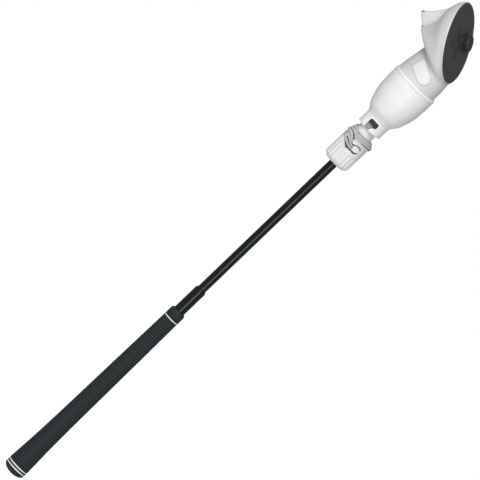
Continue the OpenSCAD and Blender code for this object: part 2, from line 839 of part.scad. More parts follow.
butt_cap();
butt_ring_lower();
butt_ring_upper();
grip_sleeve();
mouth_ring();
butt_tube();
inner_bush();
reducer_bush();
joint_pin();
thin_shaft();
neck_spindle();
drag_ring();
ribbed_knob();
strap_guard();
wrist_strap();
strap_clip();
strap_lug();
cup();
cup_liner();
rim_ring();
handle_shell();
battery_sleeve();
battery();
battery_spring();
battery_plate();
body_shell();
face_rim();
face_plate();
chassis();
main_board();
face_screws();
switch_domes();
haptic_motor();
led_strip();
trigger();
trigger_pin();
trigger_spring();
grip_button();
grip_button_pin();
grip_button_spring();
stick_housing();
stick_yoke();
thumbstick();
upper_button();
lower_button();
menu_button();
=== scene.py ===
"""Looks of the golf swing stick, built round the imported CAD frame.

Tables are in millimetres, the scene is in metres. +Z runs up the shaft, the face looks to +X and +Z.
"""
import json
import math

import bmesh
import bpy
from mathutils import Matrix, Vector
from mathutils.bvhtree import BVHTree


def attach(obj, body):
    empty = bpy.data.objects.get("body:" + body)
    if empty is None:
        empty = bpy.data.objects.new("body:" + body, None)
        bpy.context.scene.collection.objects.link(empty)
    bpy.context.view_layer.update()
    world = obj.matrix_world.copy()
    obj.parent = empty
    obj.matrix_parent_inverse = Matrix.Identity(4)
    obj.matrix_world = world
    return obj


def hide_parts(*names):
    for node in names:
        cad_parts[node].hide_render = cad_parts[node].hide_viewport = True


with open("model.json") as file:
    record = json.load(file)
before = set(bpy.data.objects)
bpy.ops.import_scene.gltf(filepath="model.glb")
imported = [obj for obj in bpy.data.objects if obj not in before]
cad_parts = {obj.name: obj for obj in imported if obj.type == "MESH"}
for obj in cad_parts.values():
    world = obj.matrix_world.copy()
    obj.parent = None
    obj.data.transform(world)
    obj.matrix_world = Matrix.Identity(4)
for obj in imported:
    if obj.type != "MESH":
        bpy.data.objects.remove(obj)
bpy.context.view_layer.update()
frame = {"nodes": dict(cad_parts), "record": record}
MM = 0.001

# The moulded pads of the grip, which its mesh and its rubber share
PADS_ROUND = 26
PAD_PITCH = 3.3
PAD_DEPTH = 0.32
PADS_FROM = 18.0

# ---------------------------------------------------------------- camera and studio
VIEW_AZIMUTH = math.radians(17)
VIEW_ELEVATION = math.radians(7)
STICK_SLOPE = math.radians(43.8)
VIEW_DISTANCE = 20.0
VIEW_WIDTH = 0.5436
VIEW_CENTRE = (-0.0103, 0.3731)
LAMP_AIM = Vector((0, 0, 0.45))
LAMP_AWAY = 2.6
FLOOR_Z = -0.3
FLOOR_R = 1.7


def camera_axes():
    """The directions to the camera, to its right and up, before it is rolled."""
    a, e = VIEW_AZIMUTH, VIEW_ELEVATION
    back = Vector((math.sin(a) * math.cos(e), -math.cos(a) * math.cos(e), math.sin(e)))
    right = Vector((math.cos(a), math.sin(a), 0))
    return back, right, back.cross(right)


def make_camera():
    """A long lens at the photo's angle, rolled so that the stick lies at its slope."""
    back, right, up = camera_axes()
    look = Vector((0, 0, VIEW_CENTRE[1])) + right * VIEW_CENTRE[0]
    c, s = math.cos(STICK_SLOPE), math.sin(STICK_SLOPE)
    rolled_right = up * c + right * s
    rolled_up = up * s - right * c
    data = bpy.data.cameras.new("studio_camera")
    data.sensor_width = 36
    data.lens = data.sensor_width * VIEW_DISTANCE / VIEW_WIDTH
    data.clip_start, data.clip_end = 0.1, 60
    cam = bpy.data.objects.new("studio_camera", data)
    place = Matrix((rolled_right, rolled_up, back)).transposed().to_4x4()
    place.translation = look + back * VIEW_DISTANCE
    cam.matrix_world = place
    bpy.context.scene.collection.objects.link(cam)
    bpy.context.scene.camera = cam


def make_lamp(name, toward, size, watts):
    """A soft box, size wide and high; toward is the way to it as parts of back, right and up."""
    back, right, up = camera_axes()
    way = (back * toward[0] + right * toward[1] + up * toward[2]).normalized()
    data = bpy.data.lights.new(name, "AREA")
    data.shape = "RECTANGLE"
    data.size, data.size_y = size
    data.energy = watts
    lamp = bpy.data.objects.new(name, data)
    lamp.location = LAMP_AIM + way * LAMP_AWAY
    lamp.rotation_mode = "QUATERNION"
    lamp.rotation_quaternion = (-way).to_track_quat("-Z", "Y")
    bpy.context.scene.collection.objects.link(lamp)


def make_world():
    """White behind the object, and a dimmer grey that lights it from all round."""
    world = bpy.data.worlds.new("studio")
    world.use_nodes = True
    nodes, links = world.node_tree.nodes, world.node_tree.links
    nodes.clear()
    seen = nodes.new("ShaderNodeBackground")
    seen.inputs["Color"].default_value = (1, 1, 1, 1)
    fill = nodes.new("ShaderNodeBackground")
    fill.inputs["Color"].default_value = (0.97, 0.985, 1, 1)
    fill.inputs["Strength"].default_value = 0.3
    path = nodes.new("ShaderNodeLightPath")
    mix = nodes.new("ShaderNodeMixShader")
    out = nodes.new("ShaderNodeOutputWorld")
    links.new(path.outputs["Is Camera Ray"], mix.inputs[0])
    links.new(fill.outputs[0], mix.inputs[1])
    links.new(seen.outputs[0], mix.inputs[2])
    links.new(mix.outputs[0], out.inputs[0])
    bpy.context.scene.world = world


def make_floor():
    """A plain pale disc. It stays out of the photo's own view."""
    bm = bmesh.new()
    bmesh.ops.create_circle(bm, cap_ends=True, segments=128, radius=FLOOR_R)
    mesh = bpy.data.meshes.new("floor")
    bm.to_mesh(mesh)
    bm.free()
    floor = bpy.data.objects.new("floor", mesh)
    floor.location = (0, 0, FLOOR_Z)
    bpy.context.scene.collection.objects.link(floor)
    mat, _, _, bsdf, _ = new_material("floor_white")
    bsdf.inputs["Base Color"].default_value = (0.85, 0.85, 0.85, 1)
    bsdf.inputs["Roughness"].default_value = 0.9
    mesh.materials.append(mat)


# ---------------------------------------------------------------- materials
# Painted highlight: the lighter colour laid in the grip's grooves stands for the light caught on the pad
# edges
GRIP_GROOVE_HIGHLIGHT = (0.036, 0.049, 0.052, 1)


def new_material(name):
    """An empty node material: itself, its nodes and links, its shader and its coordinates."""
    mat = bpy.data.materials.new(name)
    mat.use_nodes = True
    nodes, links = mat.node_tree.nodes, mat.node_tree.links
    nodes.clear()
    bsdf = nodes.new("ShaderNodeBsdfPrincipled")
    out = nodes.new("ShaderNodeOutputMaterial")
    links.new(bsdf.outputs[0], out.inputs[0])
    coord = nodes.new("ShaderNodeTexCoord").outputs["Object"]
    return mat, nodes, links, bsdf, coord


def noise(nodes, links, coord, scale, detail=3, rough=0.5):
    """A noise over the coordinates, as one value."""
    n = nodes.new("ShaderNodeTexNoise")
    n.inputs["Scale"].default_value = scale
    n.inputs["Detail"].default_value = detail
    n.inputs["Roughness"].default_value = rough
    links.new(coord, n.inputs["Vector"])
    return n.outputs["Fac"]


def spread(nodes, links, value, low, high, source=(0.3, 0.7)):
    """A noise value spread between two numbers."""
    m = nodes.new("ShaderNodeMapRange")
    m.inputs["From Min"].default_value, m.inputs["From Max"].default_value = source
    m.inputs["To Min"].default_value, m.inputs["To Max"].default_value = low, high
    links.new(value, m.inputs["Value"])
    return m.outputs["Result"]


def put(links, socket, value):
    """Gives a socket a link from another one, or a constant."""
    if isinstance(value, bpy.types.NodeSocket):
        links.new(value, socket)
    else:
        socket.default_value = value


def worked(nodes, links, operation, a, b):
    """The result of a sum on two values."""
    node = nodes.new("ShaderNodeMath")
    node.operation = operation
    put(links, node.inputs[0], a)
    put(links, node.inputs[1], b)
    return node.outputs[0]


def mixed(nodes, links, factor, a, b, blend="MIX"):
    """One colour laid over another."""
    m = nodes.new("ShaderNodeMix")
    m.data_type = "RGBA"
    m.blend_type = blend
    put(links, m.inputs["Factor"], factor)
    put(links, m.inputs["A"], a)
    put(links, m.inputs["B"], b)
    return m.outputs["Result"]


def tinted(nodes, links, value, dark, light):
    """A colour between two by a value."""
    return mixed(nodes, links, value, (*dark, 1), (*light, 1))


def bumped(nodes, links, bsdf, height, strength, distance, under=None):
    """Bumps the shader's normal by a height, on top of an earlier bump if there is one."""
    b = nodes.new("ShaderNodeBump")
    b.inputs["Strength"].default_value = strength
    b.inputs["Distance"].default_value = distance
    links.new(height, b.inputs["Height"])
    if under is not None:
        links.new(under, b.inputs["Normal"])
    links.new(b.outputs["Normal"], bsdf.inputs["Normal"])
    return b.outputs["Normal"]


def scaled(color, k):
    """A colour made darker or lighter."""
    return tuple(min(1, c * k) for c in color)


def moulded(name, color, rough, grain=2200, bump=0.06, coat=0):
    """Moulded plastic: fine spark-eroded grain, faint flow clouds in colour and gloss."""
    mat, nodes, links, bsdf, coord = new_material(name)
    cloud = noise(nodes, links, coord, 38, 4)
    fine = noise(nodes, links, coord, grain, 2, 0.6)
    links.new(tinted(nodes, links, spread(nodes, links, cloud, 0, 1), scaled(color, 0.95),
                     scaled(color, 1.025)), bsdf.inputs["Base Color"])
    links.new(spread(nodes, links, cloud, rough - 0.04, rough + 0.05), bsdf.inputs["Roughness"])
    bumped(nodes, links, bsdf, fine, bump, 0.00005)
    if coat:
        bsdf.inputs["Coat Weight"].default_value = coat
        bsdf.inputs["Coat Roughness"].default_value = 0.12
    return mat


def metal(name, color, rough, stretch=(1, 1, 1)):
    """Brushed or drawn metal: a noise stretched along the way it was worked."""
    mat, nodes, links, bsdf, coord = new_material(name)
    mapping = nodes.new("ShaderNodeMapping")
    mapping.inputs["Scale"].default_value = stretch
    links.new(coord, mapping.inputs["Vector"])
    lines = noise(nodes, links, mapping.outputs[0], 900, 4, 0.7)
    bsdf.inputs["Metallic"].default_value = 1
    links.new(tinted(nodes, links, lines, scaled(color, 0.86), color), bsdf.inputs["Base Color"])
    links.new(spread(nodes, links, lines, rough - 0.06, rough + 0.08), bsdf.inputs["Roughness"])
    bumped(nodes, links, bsdf, lines, 0.15, 0.00003)
    return mat


def lacquer(name, color, rough, coat_rough):
    """Black lacquered tube: deep colour under a clear coat, with faint drawing lines along it."""
    mat, nodes, links, bsdf, coord = new_material(name)
    mapping = nodes.new("ShaderNodeMapping")
    mapping.inputs["Scale"].default_value = (1, 1, 0.03)
    links.new(coord, mapping.inputs["Vector"])
    lines = noise(nodes, links, mapping.outputs[0], 700, 3, 0.6)
    cloud = noise(nodes, links, coord, 60, 3)
    links.new(tinted(nodes, links, cloud, scaled(color, 0.8), scaled(color, 1.25)), bsdf.inputs["Base Color"])
    links.new(spread(nodes, links, lines, rough - 0.05, rough + 0.06), bsdf.inputs["Roughness"])
    bumped(nodes, links, bsdf, lines, 0.05, 0.00003)
    bsdf.inputs["Specular IOR Level"].default_value = 0.37
    bsdf.inputs["Specular Tint"].default_value = (0.82, 1, 1, 1)
    bsdf.inputs["Coat Weight"].default_value = 0.22
    bsdf.inputs["Coat Roughness"].default_value = coat_rough
    return mat


def grip_rubber(name, color):
    """Corded golf rubber: fine woven flecks over the moulded pads, with a painted highlight: a lighter colour
    laid in the grooves between them.
    """
    mat, nodes, links, bsdf, coord = new_material(name)
    mapping = nodes.new("ShaderNodeMapping")
    mapping.inputs["Scale"].default_value = (1, 1, 0.35)
    links.new(coord, mapping.inputs["Vector"])
    cords = noise(nodes, links, mapping.outputs[0], 1700, 3, 0.7)
    flecks = noise(nodes, links, coord, 800, 4, 0.65)
    cloud = noise(nodes, links, coord, 45, 3)
    base = tinted(nodes, links, spread(nodes, links, flecks, 0, 1, (0.35, 0.7)), scaled(color, 0.26),
                  scaled(color, 0.7))
    axes = nodes.new("ShaderNodeSeparateXYZ")
    links.new(coord, axes.inputs[0])
    turn = worked(nodes, links, "ARCTAN2", axes.outputs["Y"], axes.outputs["X"])
    turn = worked(nodes, links, "MULTIPLY", turn, PADS_ROUND / (2 * math.pi))
    rise = worked(nodes, links, "SUBTRACT", axes.outputs["Z"], PADS_FROM * MM)
    rise = worked(nodes, links, "MULTIPLY", rise, 1 / (PAD_PITCH * MM))
    hollow = worked(nodes, links, "MINIMUM", worked(nodes, links, "PINGPONG", turn, 0.5),
                    worked(nodes, links, "PINGPONG", rise, 0.5))
    # Painted highlight: the grooves between the pads take a lighter colour, standing for the light on the pad
    # edges
    groove_highlit = mixed(nodes, links, spread(nodes, links, hollow, 1, 0, (0.05, 0.17)), base, GRIP_GROOVE_HIGHLIGHT)
    worn = tinted(nodes, links, cloud, (0.75, 0.8, 0.85), (1, 1, 1))
    links.new(mixed(nodes, links, 0.6, groove_highlit, worn, "MULTIPLY"), bsdf.inputs["Base Color"])
    links.new(spread(nodes, links, flecks, 0.62, 0.82), bsdf.inputs["Roughness"])
    first = bumped(nodes, links, bsdf, cords, 0.35, 0.00012)
    bumped(nodes, links, bsdf, flecks, 0.3, 0.0002, first)
    bsdf.inputs["Specular IOR Level"].default_value = 0.35
    return mat


def woven(name, color):
    """Flat woven strap: warp and weft from two crossed waves, with fuzz in the sheen."""
    mat, nodes, links, bsdf, coord = new_material(name)
    heights = []
    for direction, scale in (("Z", 900), ("X", 620)):
        wave = nodes.new("ShaderNodeTexWave")
        wave.bands_direction = direction
        wave.inputs["Scale"].default_value = scale
        wave.inputs["Distortion"].default_value = 1.2
        wave.inputs["Detail"].default_value = 2
        links.new(coord, wave.inputs["Vector"])
        heights.append(wave.outputs["Fac"])
    cloth = worked(nodes, links, "MULTIPLY", *heights)
    links.new(tinted(nodes, links, cloth, scaled(color, 0.8), scaled(color, 1.05)),
              bsdf.inputs["Base Color"])
    bsdf.inputs["Roughness"].default_value = 0.85
    bsdf.inputs["Sheen Weight"].default_value = 0.3
    bumped(nodes, links, bsdf, cloth, 0.4, 0.00015)
    return mat


def make_materials():
    """One material for each slot of the record."""
    return {
        "grip_rubber": grip_rubber("grip_rubber", (0.011, 0.019, 0.021)),
        "ring_white": moulded("ring_white", (0.93, 0.93, 0.93), 0.3, 1500, 0.02),
        "shaft_black": lacquer("shaft_black", (0.0025, 0.0025, 0.003), 0.3, 0.18),
        "bush_nylon": moulded("bush_nylon", (0.1, 0.1, 0.105), 0.5),
        "steel": metal("steel", (0.66, 0.67, 0.69), 0.3),
        "coupling_grey": moulded("coupling_grey", (0.43, 0.438, 0.45), 0.42, 2600, 0.05),
        "knob_white": moulded("knob_white", (0.8, 0.805, 0.812), 0.4, 2400, 0.05),
        "strap_fabric": woven("strap_fabric", (0.6, 0.605, 0.615)),
        "clip_metal": metal("clip_metal", (0.68, 0.69, 0.71), 0.34, (1, 1, 0.1)),
        "lug_black": moulded("lug_black", (0.012, 0.012, 0.013), 0.5, 2600, 0.1),
        "seal_rubber": moulded("seal_rubber", (0.09, 0.092, 0.095), 0.7, 1200, 0.1),
        "shell_white": moulded("shell_white", (0.87, 0.875, 0.885), 0.44, 2600, 0.05),
        "body_white": moulded("body_white", (0.7, 0.705, 0.715), 0.44, 2600, 0.05),
        "button_white": moulded("button_white", (0.8, 0.805, 0.812), 0.36, 3000, 0.03),
        "face_black": moulded("face_black", (0.034, 0.0345, 0.036), 0.52, 2600, 0.12),
        "control_black": moulded("control_black", (0.02, 0.0205, 0.022), 0.55, 1800, 0.12),
        "chassis_grey": moulded("chassis_grey", (0.2, 0.205, 0.21), 0.55),
        "board_green": moulded("board_green", (0.03, 0.16, 0.07), 0.35, 700, 0.2),
        "cell_wrap": moulded("cell_wrap", (0.1, 0.2, 0.13), 0.28, 900, 0.03, coat=0.4),
        "led_amber": moulded("led_amber", (0.5, 0.28, 0.07), 0.4),
    }


# ---------------------------------------------------------------- mesh helpers
def finish_mesh(name, bm, body, slot, nodes, sharp=34):
    """Makes the piece, shades it, gives it its slot's material, hangs it under its body and hides the CAD
    nodes it stands for.
    """
    bmesh.ops.recalc_face_normals(bm, faces=bm.faces)
    mesh = bpy.data.meshes.new(name)
    bm.to_mesh(mesh)
    bm.free()
    return finish_piece(name, mesh, body, slot, nodes, sharp)


def finish_piece(name, mesh, body, slot, nodes, sharp=34):
    """The same for a mesh that is made already."""
    mesh.shade_smooth()
    mesh.set_sharp_from_angle(angle=math.radians(sharp))
    mesh.materials.clear()
    mesh.materials.append(MATERIALS[slot])
    piece = bpy.data.objects.new(name, mesh)
    bpy.context.scene.collection.objects.link(piece)
    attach(piece, body)
    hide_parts(*nodes)
    return piece


def sheet_of(rings, along=False):
    """A bmesh skinned over closed rings of points in millimetres, joined end to end if told."""
    bm = bmesh.new()
    rows = [[bm.verts.new(Vector(p) * MM) for p in ring] for ring in rings]
    count, size = len(rows), len(rows[0])
    for i in range(count if along else count - 1):
        a, b = rows[i], rows[(i + 1) % count]
        for j in range(size):
            k = (j + 1) % size
            bm.faces.new((a[j], a[k], b[k], b[j]))
    return bm, rows


def solid_of(rings):
    """A bmesh skinned over rings, with both ends closed."""
    bm, rows = sheet_of(rings)
    bm.faces.new(rows[0][::-1])
    bm.faces.new(rows[-1])
    return bm


def weld(bm):
    """Joins the points that a profile has on the axis."""
    bmesh.ops.remove_doubles(bm, verts=bm.verts, dist=1e-7)
    bmesh.ops.dissolve_degenerate(bm, edges=bm.edges, dist=1e-8)


def rounded(corners, closed=True, steps=5):
    """A 2-D line with its corners rounded: each corner is (x, y, radius)."""
    out = []
    n = len(corners)
    for i, (x, y, r) in enumerate(corners):
        p = Vector((x, y))
        if r <= 0 or (not closed and i in (0, n - 1)):
            out.append(tuple(p))
            continue
        a = Vector(corners[(i - 1) % n][:2]) - p
        b = Vector(corners[(i + 1) % n][:2]) - p
        half = a.angle(b) / 2
        reach = min(r / math.tan(half), 0.49 * a.length, 0.49 * b.length)
        a, b = p + a.normalized() * reach, p + b.normalized() * reach
        for k in range(steps + 1):
            t = k / steps
            out.append(tuple(a * (1 - t) ** 2 + p * 2 * t * (1 - t) + b * t ** 2))
    return out


def lathe_bm(profile, segments=128, start=0, sweep=360, place=None):
    """Turns a profile of (radius, height) about Z. A part turn gets flat ends."""
    full = sweep >= 360
    count = segments if full else segments + 1
    rings = []
    for i in range(count):
        a = math.radians(start + sweep * i / segments)
        rings.append([(r * math.cos(a), r * math.sin(a), z) for r, z in profile])
    bm, rows = sheet_of(rings, full)
    if not full:
        bm.faces.new(rows[0])
        bm.faces.new(rows[-1][::-1])
    weld(bm)
    if place is not None:
        bmesh.ops.transform(bm, matrix=place, verts=bm.verts)
    return bm


def lathe(name, profile, body, slot, nodes, segments=128, place=None, sharp=34):
    """A whole piece turned from one profile."""
    finish_mesh(name, lathe_bm(profile, segments, place=place), body, slot, nodes, sharp)


def solid(bm):
    """A plain object that a boolean can use, not part of the object."""
    bmesh.ops.recalc_face_normals(bm, faces=bm.faces)
    mesh = bpy.data.meshes.new("cutter")
    bm.to_mesh(mesh)
    bm.free()
    o = bpy.data.objects.new("cutter", mesh)
    bpy.context.scene.collection.objects.link(o)
    return o


def carved(bm, cutters):
    """The mesh of bm after each cutter is taken away. The cutters are removed."""
    base = solid(bm)
    for c in cutters:
        tool = solid(c)
        m = base.modifiers.new("cut", "BOOLEAN")
        m.operation = "DIFFERENCE"
        m.solver = "EXACT"
        m.object = tool
        graph = bpy.context.evaluated_depsgraph_get()
        mesh = bpy.data.meshes.new_from_object(base.evaluated_get(graph))
        base.modifiers.clear()
        base.data = mesh
        bpy.data.objects.remove(tool)
    mesh = base.data
    bpy.data.objects.remove(base)
    return mesh


def prism_bm(outline, low, high, to_world):
    """An outline made solid between two depths; to_world(u, v, depth) gives millimetres."""
    return solid_of([[to_world(u, v, d) for u, v in outline] for d in (low, high)])


def soften(piece, width, angle=40):
    """Rounds a piece's edges that are sharper than the angle."""
    m = piece.modifiers.new("soft_edges", "BEVEL")
    m.width = width * MM
    m.segments = 3
    m.limit_method = "ANGLE"
    m.angle_limit = math.radians(angle)


def joined(bm, other):
    """Adds the other mesh to bm."""
    mesh = bpy.data.meshes.new("part")
    other.to_mesh(mesh)
    other.free()
    bm.from_mesh(mesh)
    bpy.data.meshes.remove(mesh)
    return bm


def arc_points(radius, angles, at=(0, 0)):
    """Points on a circle at angles in degrees."""
    return [(at[0] + radius * math.cos(math.radians(a)), at[1] + radius * math.sin(math.radians(a)))
            for a in angles]


# ---------------------------------------------------------------- grip
BUTT_R, MOUTH_R, TUBE_R, SHAFT_R = 13.55, 9.6, 7.1, 5.5
DOME_HIGH = 7
RINGS_AT, RING_WIDE = (7.5, 11.0), 1.6
MOUTH_RING_AT, MOUTH_RING_WIDE = 253.7, 1.4
SLEEVE_LOW, GRIP_TOP = 14.4, 267
GRIP_BORE = TUBE_R + 0.05
# Heights, and how far the taper is from the mouth's radius to the butt's
GRIP_STATIONS = ((SLEEVE_LOW, 1), (26, 0.91), (43, 0.71), (63, 0.575), (100, 0.42), (152, 0.3),
                 (204, 0.17), (248, 0.04), (GRIP_TOP, 0))


def cubic(t, a, b, leave, arrive):
    """A curve from a at t = 0 to b at t = 1 that leaves and arrives with the given slopes."""
    return ((2 * t ** 3 - 3 * t * t + 1) * a + (t ** 3 - 2 * t * t + t) * leave
            + (3 * t * t - 2 * t ** 3) * b + (t ** 3 - t * t) * arrive)


def smooth_value(s, z):
    """The value at z on a smooth line through the stations (height, value)."""
    for i in range(len(s) - 1):
        if z <= s[i + 1][0]:
            break
    before, after = s[max(i - 1, 0)], s[min(i + 2, len(s) - 1)]
    a, b = s[i], s[i + 1]
    span = b[0] - a[0]
    t = max(0, (z - a[0]) / span)
    leave = (b[1] - before[1]) / max(b[0] - before[0], 1) * span
    arrive = (after[1] - a[1]) / max(after[0] - a[0], 1) * span
    return cubic(t, a[1], b[1], leave, arrive)


def grip_radius(z):
    """The grip's outer radius, which falls fast over the butt and slowly over the rest."""
    return MOUTH_R + max(0, smooth_value(GRIP_STATIONS, z)) * (BUTT_R - MOUTH_R)


def inlay(name, r_in, r_out, z, wide, node):
    """A white ring, let into the groove that starts at z."""
    low, high = z + 0.06, z + wide - 0.06
    lathe(name, rounded([(r_in, low, 0), (r_out, low, 0.3), (r_out, high, 0.3), (r_in, high, 0)]),
          "stick", "ring_white", [node], 144)


def make_grip():
    """The rounded end with its vent hole, and the white rings."""
    line = [(1.5, 6), (1.5, 0.5), (1.75, 0.16)]
    line += [(BUTT_R * math.sin(math.radians(t)), DOME_HIGH * (1 - math.cos(math.radians(t))))
             for t in range(12, 91, 6)]
    for z in RINGS_AT:
        top = z + RING_WIDE
        line += [(BUTT_R, z - 0.25), (BUTT_R - 0.2, z), (BUTT_R - 0.9, z), (BUTT_R - 0.9, top),
                 (BUTT_R - 0.2, top), (BUTT_R, top + 0.25)]
    line += [(BUTT_R, SLEEVE_LOW), (GRIP_BORE, SLEEVE_LOW), (GRIP_BORE, 6)]
    lathe("grip_end", line, "stick", "grip_rubber", ["butt_cap"], 144, sharp=50)
    inlay("lower_inlay", BUTT_R - 0.85, BUTT_R - 0.05, RINGS_AT[0], RING_WIDE, "butt_ring_lower")
    inlay("upper_inlay", BUTT_R - 0.85, BUTT_R - 0.05, RINGS_AT[1], RING_WIDE, "butt_ring_upper")
    inlay("mouth_inlay", 8.8, 9.68, MOUTH_RING_AT, MOUTH_RING_WIDE, "mouth_ring")


def make_grip_sleeve():
    """The sleeve's moulded pads: a grid of pillows between ring grooves and lengthways grooves."""
    # Over one pad: how far across it, and how deep in the groove from 0 to 1
    cuts = ((0.0, 1.0), (0.12, 0.7), (0.24, 0.1), (0.5, 0.0), (0.76, 0.1), (0.88, 0.7))
    columns = [(2 * math.pi * (i + cut) / PADS_ROUND, low) for i in range(PADS_ROUND) for cut, low in cuts]

    def plain(r, z):
        return [(r * math.cos(a), r * math.sin(a), z) for a, _ in columns]

    def padded(z, depth):
        out = []
        for a, low in columns:
            r = grip_radius(z) - PAD_DEPTH * max(low, depth)
            out.append((r * math.cos(a), r * math.sin(a), z))
        return out

    foot = SLEEVE_LOW + 0.05
    rings = [plain(GRIP_BORE, foot), plain(grip_radius(foot) - PAD_DEPTH, foot),
             plain(grip_radius(14.7), 14.7), plain(grip_radius(17.6), 17.6)]
    z = PADS_FROM
    while z < 249.5:
        rings += [padded(z + cut * PAD_PITCH, low) for cut, low in cuts]
        z += PAD_PITCH
    rings += [padded(z, 1), plain(grip_radius(z + 0.4), z + 0.4)]
    low, high = MOUTH_RING_AT, MOUTH_RING_AT + MOUTH_RING_WIDE
    for height, fall in ((low - 0.15, 0), (low, 0.2), (low, 0.9), (high, 0.9), (high, 0.2), (high + 0.15, 0),
                         (263.9, 0), (265.2, 0.25), (266.3, 0.75), (266.9, 1.4), (GRIP_TOP, 1.9)):
        rings.append(plain(grip_radius(height) - fall, height))
    rings.append(plain(GRIP_BORE, GRIP_TOP))
    bm, _ = sheet_of(rings, True)
    finish_mesh("grip_skin", bm, "stick", "grip_rubber", ["grip_sleeve"], sharp=60)


# ---------------------------------------------------------------- shaft
STEP_Z = 301
SHAFT_LOW, SHAFT_TOP = 231, 540


def make_shaft():
    """The butt tube, the lip at its upper end, and the thin shaft that stands in it."""
    lathe("butt_tube_skin", rounded([(6.05, 6.05, 0), (TUBE_R, 6.05, 0.2), (TUBE_R, STEP_Z, 0.7),
                                     (6.05, STEP_Z, 0.2)]),
          "stick", "shaft_black", ["butt_tube"], 128)
    lathe("step_lip", rounded([(5.55, 281, 0), (6.0, 281, 0.2), (6.0, STEP_Z + 0.05, 0),
                               (6.7, STEP_Z + 0.05, 0.15), (6.4, 302.2, 0.5), (5.55, 302.5, 0.1)]),
          "stick", "shaft_black", ["reducer_bush"], 128)
    lathe("thin_shaft_skin", rounded([(4.7, SHAFT_LOW, 0), (SHAFT_R, SHAFT_LOW, 0.2),
                                      (SHAFT_R, SHAFT_TOP, 0.2), (4.7, SHAFT_TOP, 0)]),
          "stick", "shaft_black", ["thin_shaft"], 128)


# ---------------------------------------------------------------- winder
KNOB_LOW, KNOB_TOP, KNOB_R = 512, 550, 17.0
CAVITY_R, HUB_R, BEARING_R = 14.7, 11.5, 8.5
NECK_Z, COLLAR_Z, CUP_FLOOR = 557.3, 566.7, 570.9
FLUTES, FLUTE_AT = 18, 13.7
RECESS = (107.0, 278.0)
SKIRT_FROM = -89


def flute_end(a):
    """Height where the finger flutes stop at an angle in degrees."""
    return 531.5 + 9.5 * min(1, max(0, (87 - abs((a % 360) - 194)) / 51))


def ease(t):
    """0 to 1 with a soft start and a soft end."""
    t = min(1, max(0, t))
    return t * t * (3 - 2 * t)


def knob_radius(a, z):
    """Outer radius of the knob: a round lower shoulder, soft flutes and a flared lip."""
    u = min(1, (z - KNOB_LOW) / 5.5)
    r = KNOB_R - 4.5 * (1 - u) ** 2
    r += 1.5 * ease((z - 546.6) / 2.6)
    off = abs((a - FLUTE_AT + 180 / FLUTES) % (360 / FLUTES) - 180 / FLUTES)
    if off < 6:
        deep = 1.0 * (0.5 + 0.5 * math.cos(math.pi * off / 6)) ** 0.8
        r -= deep * ease((z - 513) / 1.5) * ease((flute_end(a) - z) / 1.2)
    return r


def turned(r, a, z):
    """A point at a radius and an angle in degrees."""
    a = math.radians(a)
    return (r * math.cos(a), r * math.sin(a), z)


def curved_prism(outline, low, high):
    """An outline of (angle, height) made solid between two radii."""
    return prism_bm(outline, low, high, lambda a, z, r: turned(r, a, z))


def ribbon(line, width, radius):
    """The outline of a band along a line of (angle, height), with round ends."""
    k = math.radians(1) * radius
    path = rounded([(a * k, z, 4) for a, z in line], False, 6)
    left, right = [], []
    for i, q in enumerate(path):
        d = Vector(path[min(i + 1, len(path) - 1)]) - Vector(path[max(i - 1, 0)])
        n = Vector((-d.y, d.x)).normalized() * width / 2
        left.append((q[0] + n.x, q[1] + n.y))
        right.append((q[0] - n.x, q[1] - n.y))
    ends = []
    for q, other, side in ((path[-1], path[-2], left[-1]), (path[0], path[1], right[0])):
        out = (Vector(q) - Vector(other)).normalized() * width / 2
        across = Vector(side) - Vector(q)
        ends.append([tuple(Vector(q) + across * math.cos(b) + out * math.sin(b))
                     for b in (math.radians(v) for v in (30, 60, 90, 120, 150))])
    outline = left + ends[0] + right[::-1] + ends[1]
    return [(x / k, z) for x, z in outline]


def make_knob():
    """The knob: fluted outside, hollow for the guard's hub, cut away where the strap runs."""
    columns = [360 * i / 288 for i in range(288)]
    columns = sorted(set(columns + [edge + d for edge in RECESS for d in (-0.05, 0.05)]))

    def top(a):
        return flute_end(a) + 1.5 if RECESS[0] < a < RECESS[1] else KNOB_TOP

    def outside(a, z):
        return turned(knob_radius(a, z), a, z)

    rings = [[outside(a, KNOB_LOW + d) for a in columns] for d in (0, 0.25, 0.6, 1, 1.5, 2, 2.6, 3.2, 4, 5)]
    shoulder = KNOB_LOW + 5
    for i in range(1, 49):
        rings.append([outside(a, shoulder + (top(a) - 0.3 - shoulder) * i / 48) for a in columns])
    rings.append([turned(knob_radius(a, top(a)) - 0.3, a, top(a)) for a in columns])
    rings.append([turned(CAVITY_R + 0.2, a, top(a)) for a in columns])
    rings.append([turned(CAVITY_R, a, top(a) - 0.2) for a in columns])
    hub, bearing, shaft = HUB_R + 0.05, BEARING_R + 0.06, SHAFT_R + 0.4
    for r, z in ((CAVITY_R, 531), (hub, 531), (hub, 525), (bearing, 525), (bearing, 513.8), (shaft, 513.8),
                 (shaft, KNOB_LOW), (12.2, KNOB_LOW)):
        rings.append([turned(r, a, z) for a in columns])
    bm, _ = sheet_of(rings, True)
    pocket = [(276, 535.3), (284, 535.3), (291, 535.3), (294.6, 535.6), (296.4, 537.2), (296.8, 539.5),
              (296.2, 541.9), (293, 543.1), (289, 543.4), (286, 543.8), (283, 544.6), (280, 545.6),
              (276, 547)]
    lower = ribbon([(290, 536.5), (303, 536.7), (311, 536.2), (320, 536.9), (329, 539)], 2.4, KNOB_R)
    upper = ribbon([(288, 543), (300, 545), (311, 545.4), (322, 545), (331, 542.7)], 2.3, KNOB_R)
    cutters = [curved_prism(outline, CAVITY_R - 0.6, KNOB_R + 4) for outline in (pocket, lower, upper)]
    finish_piece("finger_knob", carved(bm, cutters), "winder", "knob_white", ["ribbed_knob"], 38)


